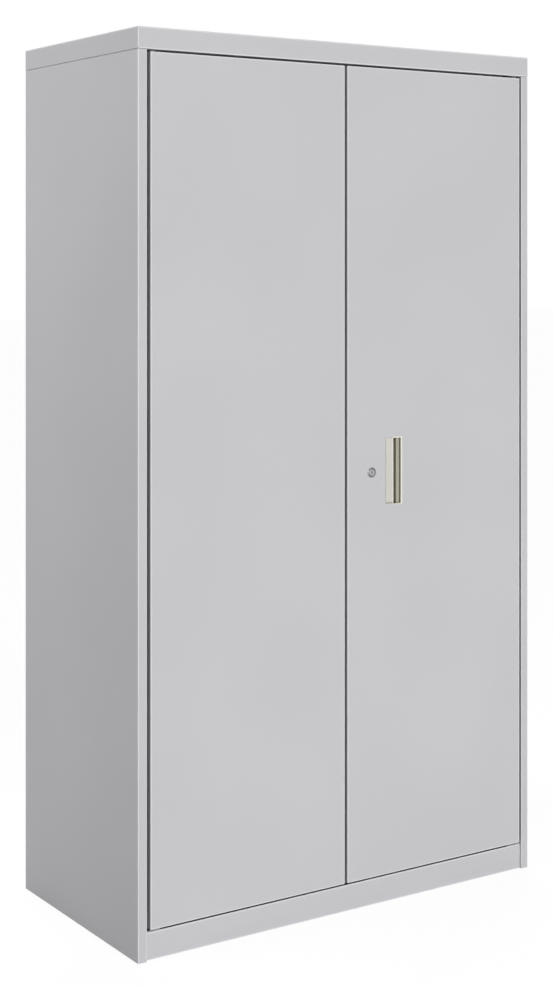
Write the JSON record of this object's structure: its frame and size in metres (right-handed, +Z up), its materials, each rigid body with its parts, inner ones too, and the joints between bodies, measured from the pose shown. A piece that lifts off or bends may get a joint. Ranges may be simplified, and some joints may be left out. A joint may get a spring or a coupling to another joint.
{
  "type": "storage cabinet",
  "caption": "Tall sheet-steel storage cabinet with inset double doors, a recessed pull, a key lock that drives locking rods, and adjustable shelves.",
  "frame": {"origin": "middle of the footprint, on the floor", "axes": "+Z up, doors face -Y, +X to the right seen from the front"},
  "size_m": [0.9144, 0.459, 1.662],
  "materials": {
    "powder_coat": "light grey powder coat, fine texture, satin",
    "zinc_plate": "bright zinc plate",
    "nickel_plate": "satin nickel plate",
    "black_nylon": "moulded, matt",
    "white_nylon": "moulded, matt",
    "pull_moulding": "warm off-white moulding, satin"
  },
  "bodies": {
    "carcass": {"side_panel_left": "powder_coat", "side_panel_right": "powder_coat", "back_panel": "powder_coat", "top_cap": "powder_coat", "door_header": "powder_coat", "base_pan": "powder_coat", "base_rail_left": "powder_coat", "base_rail_right": "powder_coat", "standard_front_left": "zinc_plate", "standard_front_right": "zinc_plate", "standard_rear_left": "zinc_plate", "standard_rear_right": "zinc_plate", "shelf_1": "powder_coat", "shelf_2": "powder_coat", "shelf_3": "powder_coat", "shelf_4": "powder_coat", "hanger_1_left": "zinc_plate", "hanger_1_right": "zinc_plate", "hanger_2_left": "zinc_plate", "hanger_2_right": "zinc_plate", "hanger_3_left": "zinc_plate", "hanger_3_right": "zinc_plate", "hanger_4_left": "zinc_plate", "hanger_4_right": "zinc_plate", "pivot_plate_lower_left": "zinc_plate", "pivot_plate_lower_right": "zinc_plate", "pivot_plate_upper_left": "zinc_plate", "pivot_plate_upper_right": "zinc_plate", "catch_left": "black_nylon", "catch_right": "black_nylon"},
    "door_left_leaf": {"door_left": "powder_coat", "stiffener_left": "powder_coat", "bush_lower_left": "white_nylon", "bush_upper_left": "white_nylon", "bolt_guide_upper": "black_nylon", "bolt_guide_lower": "black_nylon"},
    "door_right_leaf": {"door_right": "powder_coat", "stiffener_right": "powder_coat", "bush_lower_right": "white_nylon", "bush_upper_right": "white_nylon", "door_pull": "pull_moulding", "lock_barrel": "nickel_plate", "lock_nut": "zinc_plate", "rod_guide_upper_1": "black_nylon", "rod_guide_upper_2": "black_nylon", "rod_guide_lower_1": "black_nylon", "rod_guide_lower_2": "black_nylon"},
    "lock_core": {"lock_plug": "nickel_plate", "lock_cam": "zinc_plate", "cam_screw": "zinc_plate"},
    "rod_upper": {"lock_rod_upper": "zinc_plate"},
    "rod_lower": {"lock_rod_lower": "zinc_plate"},
    "bolt_upper": {"slide_bolt_upper": "zinc_plate"},
    "bolt_lower": {"slide_bolt_lower": "zinc_plate"},
    "foot_front_left": {"glide_front_left": "zinc_plate"},
    "foot_front_right": {"glide_front_right": "zinc_plate"},
    "foot_rear_left": {"glide_rear_left": "zinc_plate"},
    "foot_rear_right": {"glide_rear_right": "zinc_plate"}
  },
  "joints": [
    {"name": "left_door_swing", "type": "hinge", "parent": "carcass", "child": "door_left_leaf", "pos_m": [-0.4244, -0.2177, 0.8365], "axis": [0, 0, -1], "range_deg": [0, 105]},
    {"name": "right_door_swing", "type": "hinge", "parent": "carcass", "child": "door_right_leaf", "pos_m": [0.4244, -0.2177, 0.8365], "axis": [0, 0, 1], "range_deg": [0, 105]},
    {"name": "key_turn", "type": "hinge", "parent": "door_right_leaf", "child": "lock_core", "pos_m": [0.058, -0.2277, 0.8365], "axis": [0, -1, 0], "range_deg": [0, 90]},
    {"name": "rod_upper_slide", "type": "slide", "parent": "door_right_leaf", "child": "rod_upper", "axis": [0, 0, 1], "range_m": [0, 0.01414]},
    {"name": "rod_lower_slide", "type": "slide", "parent": "door_right_leaf", "child": "rod_lower", "axis": [0, 0, -1], "range_m": [0, 0.01414]},
    {"name": "bolt_upper_slide", "type": "slide", "parent": "door_left_leaf", "child": "bolt_upper", "axis": [0, 0, 1], "range_m": [0, 0.012]},
    {"name": "bolt_lower_slide", "type": "slide", "parent": "door_left_leaf", "child": "bolt_lower", "axis": [0, 0, -1], "range_m": [0, 0.012]},
    {"name": "foot_front_left_screw", "type": "slide", "parent": "carcass", "child": "foot_front_left", "axis": [0, 0, -1], "range_m": [0, 0.012]},
    {"name": "foot_front_right_screw", "type": "slide", "parent": "carcass", "child": "foot_front_right", "axis": [0, 0, -1], "range_m": [0, 0.012]},
    {"name": "foot_rear_left_screw", "type": "slide", "parent": "carcass", "child": "foot_rear_left", "axis": [0, 0, -1], "range_m": [0, 0.012]},
    {"name": "foot_rear_right_screw", "type": "slide", "parent": "carcass", "child": "foot_rear_right", "axis": [0, 0, -1], "range_m": [0, 0.012]}
  ],
  "couplings": [
    {"joint": "key_turn", "follows": "rod_upper_slide", "rad_per_m": 111.08},
    {"joint": "rod_lower_slide", "follows": "rod_upper_slide", "ratio": 1}
  ]
}
